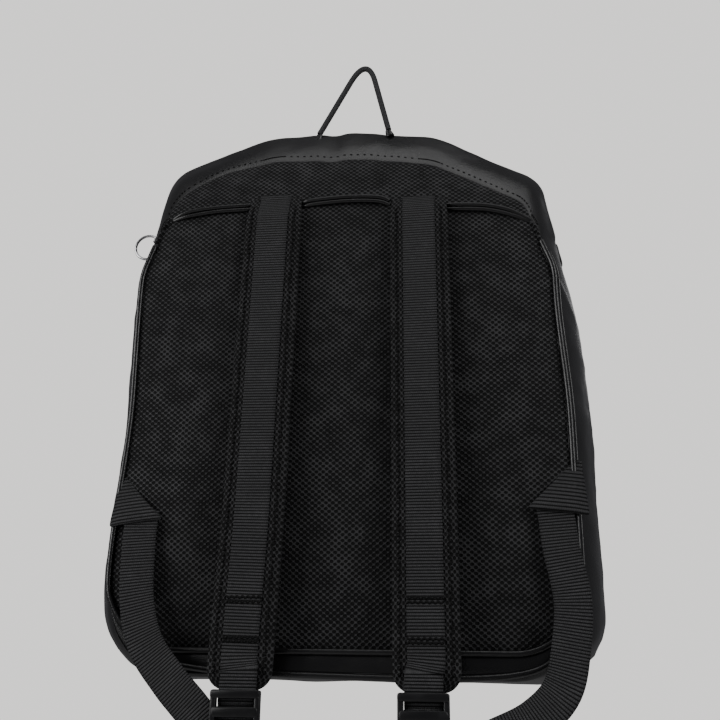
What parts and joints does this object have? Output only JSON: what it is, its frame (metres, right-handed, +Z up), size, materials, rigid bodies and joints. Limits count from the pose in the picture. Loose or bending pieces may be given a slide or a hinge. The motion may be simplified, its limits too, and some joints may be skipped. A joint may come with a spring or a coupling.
{
  "type": "ski backpack",
  "caption": "Soft leather daypack with a padded mesh back, padded shoulder straps with ladder locks, a U-shaped main zip, a front pocket and a thin hang cord.",
  "frame": {"origin": "where the hang cord bears on its hook, at the inner side of the cord's top", "axes": "+Z up along the hanging bag, -Y out of the mesh back towards the wearer, +X to the right as the mesh back is looked at"},
  "size_m": [0.3785, 0.2108, 0.5908],
  "materials": {
    "leather": "smooth glossy coated leather",
    "piping": "glossy",
    "air_mesh": "knitted spacer mesh with rows of open holes",
    "strap_mesh": "fine knitted mesh",
    "webbing": "ribbed woven tape",
    "buckle_plastic": "satin moulded",
    "zip_tape": "woven",
    "zip_teeth": "moulded coil",
    "zip_metal": "dark plated",
    "bright_ring": "polished",
    "cord": "round braided cord",
    "stiffener": "thin sheet",
    "lining": "plain weave"
  },
  "bodies": {
    "bag": {"top_panel": "leather", "left_gusset": "leather", "right_gusset": "leather", "front_panel": "leather", "bottom_panel": "leather", "back_band": "leather", "pocket_panel": "leather", "back_piping": "piping", "cross_piping": "piping", "band_piping": "piping", "front_piping": "piping", "zip_end_tabs": "piping", "back_pad": "air_mesh", "mesh_yoke": "air_mesh", "left_strap_root": "strap_mesh", "right_strap_root": "strap_mesh", "left_anchor_tab": "webbing", "right_anchor_tab": "webbing", "zip_tape_rear": "zip_tape", "pocket_tape_back": "zip_tape", "pocket_tape_front": "zip_tape", "zip_lower_ends": "zip_tape", "zip_teeth_rear": "zip_teeth", "hang_cord": "cord", "cord_anchors": "piping", "back_sheet": "stiffener", "lining": "lining"},
    "front_flap": {"flap_panel": "leather", "zip_tape_front": "zip_tape", "zip_teeth_front": "zip_teeth"},
    "left_strap": {"left_shoulder_strap": "strap_mesh", "left_strap_webbing": "webbing", "left_adjuster_webbing": "webbing"},
    "right_strap": {"right_shoulder_strap": "strap_mesh", "right_strap_webbing": "webbing", "right_adjuster_webbing": "webbing"},
    "left_lock": {"left_ladder_lock": "buckle_plastic"},
    "right_lock": {"right_ladder_lock": "buckle_plastic"},
    "zip_slider_body": {"zip_slider": "zip_metal"},
    "zip_pull_body": {"zip_pull": "zip_metal"},
    "zip_ring_body": {"zip_ring": "bright_ring"},
    "pocket_slider_body": {"pocket_slider": "zip_metal"},
    "pocket_pull_body": {"pocket_pull": "zip_metal"}
  },
  "joints": [
    {"name": "left_strap_swing", "type": "hinge", "parent": "bag", "child": "left_strap", "pos_m": [-0.092, -0.036, -0.1415], "axis": [-0.3107, 0.0029, -0.9505], "range_deg": [0, 65]},
    {"name": "left_lock_tilt", "type": "hinge", "parent": "left_strap", "child": "left_lock", "pos_m": [-0.0705, -0.063, -0.513], "axis": [1, 0, 0], "range_deg": [-5, 5]},
    {"name": "right_strap_swing", "type": "hinge", "parent": "bag", "child": "right_strap", "pos_m": [0.074, -0.036, -0.1415], "axis": [-0.3107, -0.0029, 0.9505], "range_deg": [0, 65]},
    {"name": "right_lock_tilt", "type": "hinge", "parent": "right_strap", "child": "right_lock", "pos_m": [0.0525, -0.063, -0.513], "axis": [1, 0, 0], "range_deg": [-5, 5]},
    {"name": "flap_open", "type": "hinge", "parent": "bag", "child": "front_flap", "pos_m": [-0.009, 0.1203, -0.13], "axis": [-1, 0, 0], "range_deg": [0, 35]},
    {"name": "main_zip_slide", "type": "slide", "parent": "bag", "child": "zip_slider_body", "axis": [0.1783, 0, 0.984], "range_m": [-0.01, 0.014]},
    {"name": "zip_pull_lift", "type": "hinge", "parent": "zip_slider_body", "child": "zip_pull_body", "pos_m": [-0.17877, 0.014, -0.14173], "axis": [0, 1, 0], "range_deg": [0, 75]},
    {"name": "zip_ring_swing", "type": "hinge", "parent": "zip_pull_body", "child": "zip_ring_body", "pos_m": [-0.18248, 0.014, -0.14644], "axis": [0, 1, 0], "range_deg": [0, 40]},
    {"name": "pocket_zip_slide", "type": "slide", "parent": "bag", "child": "pocket_slider_body", "axis": [1, 0, 0], "range_m": [0, 0.17]},
    {"name": "pocket_pull_lift", "type": "hinge", "parent": "pocket_slider_body", "child": "pocket_pull_body", "pos_m": [-0.1, 0.1378, -0.2315], "axis": [1, 0, 0], "range_deg": [0, 150]}
  ]
}
